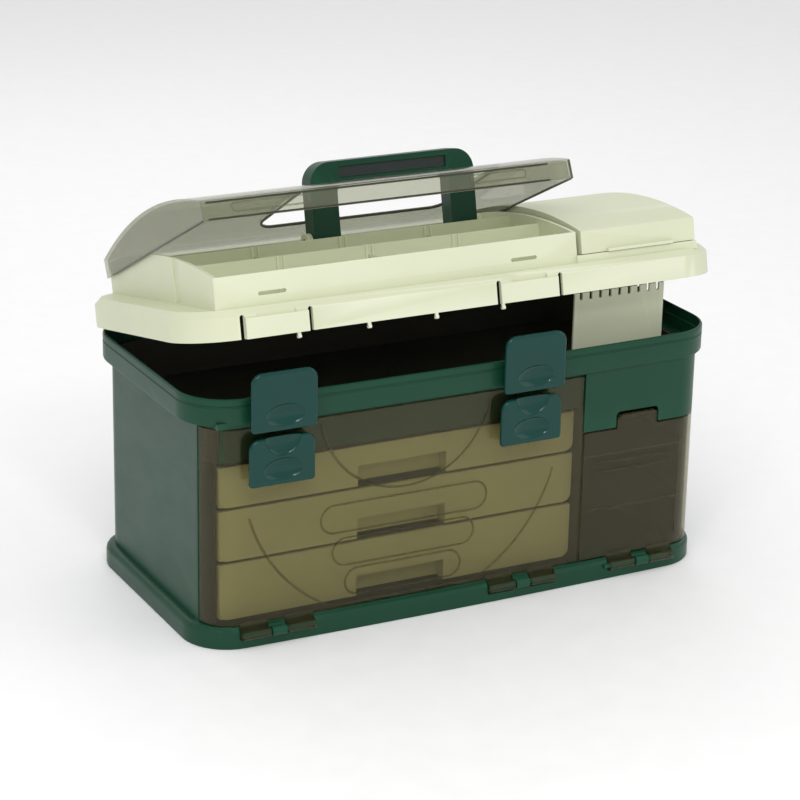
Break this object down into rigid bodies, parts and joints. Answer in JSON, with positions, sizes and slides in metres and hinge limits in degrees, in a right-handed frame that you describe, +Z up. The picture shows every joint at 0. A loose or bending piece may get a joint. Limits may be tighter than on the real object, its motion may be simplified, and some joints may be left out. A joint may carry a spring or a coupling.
{
  "type": "fishing tackle box",
  "caption": "Hip-roof tackle box with drawers behind a drop-down smoke cover, a side bin door, snap latches and a hinged lid that carries a covered tray and a folding handle.",
  "frame": {"origin": "centre of the flat underside", "axes": "+X along the length to the right as seen from the front, +Y to the back, +Z up"},
  "size_m": [0.468, 0.2444, 0.3458],
  "materials": {
    "case_green": "fine moulded texture",
    "latch_green": "glossy moulded",
    "cream": "satin moulded",
    "drawer_cream": "satin moulded",
    "smoke": "clear smoke tint",
    "smoke_light": "clear smoke tint",
    "inner_dark": "matte",
    "steel": "satin",
    "grip": "soft matte"
  },
  "bodies": {
    "case": {"case_base": "case_green", "case_left": "case_green", "case_right": "case_green", "case_back": "case_green", "case_front": "case_green", "rim_left": "case_green", "rim_right": "case_green", "rim_back": "case_green", "rim_front": "case_green", "storage_tub": "inner_dark", "bin_partition": "inner_dark", "left_runner": "inner_dark", "right_runner": "inner_dark", "bin_shelves": "inner_dark", "lure_rack": "cream", "front_hinge_pins": "case_green", "upper_latch_pins": "steel", "lid_hinge_pins": "steel"},
    "front_cover": {"front_cover": "smoke", "lower_latch_pins": "steel"},
    "side_door": {"side_door": "smoke"},
    "upper_latch_left": {"upper_latch_left": "latch_green"},
    "upper_latch_right": {"upper_latch_right": "latch_green"},
    "lower_latch_left": {"lower_latch_left": "latch_green"},
    "lower_latch_right": {"lower_latch_right": "latch_green"},
    "drawer_bottom": {"drawer_bottom": "drawer_cream", "drawer_bottom_dividers": "drawer_cream"},
    "drawer_middle": {"drawer_middle": "drawer_cream", "drawer_middle_dividers": "drawer_cream"},
    "drawer_top": {"drawer_top": "drawer_cream", "drawer_top_dividers": "drawer_cream"},
    "lid": {"lid_tray": "cream", "tray_dividers": "cream", "top_hinge_pins": "steel", "handle_pins": "case_green"},
    "clear_cover": {"clear_cover": "smoke_light"},
    "side_lid": {"side_lid": "cream"},
    "handle": {"handle": "case_green", "grip_pad": "grip"}
  },
  "joints": [
    {"name": "lid_hinge", "type": "hinge", "parent": "case", "child": "lid", "pos_m": [0, 0.112, 0.202], "axis": [-1, 0, 0], "range_deg": [-12.3, 77.7]},
    {"name": "clear_cover_hinge", "type": "hinge", "parent": "lid", "child": "clear_cover", "pos_m": [0, 0.1168, 0.23575], "axis": [-1, 0, 0], "range_deg": [-14.4, 75.6]},
    {"name": "side_lid_hinge", "type": "hinge", "parent": "lid", "child": "side_lid", "pos_m": [0, 0.1168, 0.23575], "axis": [-1, 0, 0], "range_deg": [0, 95]},
    {"name": "handle_pivot", "type": "hinge", "parent": "lid", "child": "handle", "pos_m": [0, 0.02397, 0.27237], "axis": [-1, 0, 0], "range_deg": [0, 90]},
    {"name": "front_cover_hinge", "type": "hinge", "parent": "case", "child": "front_cover", "pos_m": [0, -0.114, 0.012], "axis": [1, 0, 0], "range_deg": [0, 90]},
    {"name": "side_door_hinge", "type": "hinge", "parent": "case", "child": "side_door", "pos_m": [0, -0.114, 0.012], "axis": [1, 0, 0], "range_deg": [0, 90]},
    {"name": "upper_latch_left_pivot", "type": "hinge", "parent": "case", "child": "upper_latch_left", "pos_m": [-0.164, -0.117, 0.181], "axis": [1, 0, 0], "range_deg": [-3, 75]},
    {"name": "lower_latch_left_pivot", "type": "hinge", "parent": "front_cover", "child": "lower_latch_left", "pos_m": [-0.164, -0.1135, 0.137], "axis": [1, 0, 0], "range_deg": [-3, 75]},
    {"name": "upper_latch_right_pivot", "type": "hinge", "parent": "case", "child": "upper_latch_right", "pos_m": [0.05, -0.117, 0.181], "axis": [1, 0, 0], "range_deg": [-3, 75]},
    {"name": "lower_latch_right_pivot", "type": "hinge", "parent": "front_cover", "child": "lower_latch_right", "pos_m": [0.05, -0.1135, 0.137], "axis": [1, 0, 0], "range_deg": [-3, 75]},
    {"name": "drawer_top_slide", "type": "slide", "parent": "case", "child": "drawer_top", "axis": [0, -1, 0], "range_m": [0, 0.15]},
    {"name": "drawer_middle_slide", "type": "slide", "parent": "case", "child": "drawer_middle", "axis": [0, -1, 0], "range_m": [0, 0.15]},
    {"name": "drawer_bottom_slide", "type": "slide", "parent": "case", "child": "drawer_bottom", "axis": [0, -1, 0], "range_m": [0, 0.15]}
  ],
  "couplings": [
    {"joint": "drawer_top_slide", "follows": "front_cover_hinge", "m_per_rad": 0.095},
    {"joint": "drawer_middle_slide", "follows": "front_cover_hinge", "m_per_rad": 0.075},
    {"joint": "drawer_bottom_slide", "follows": "front_cover_hinge", "m_per_rad": 0.012}
  ]
}
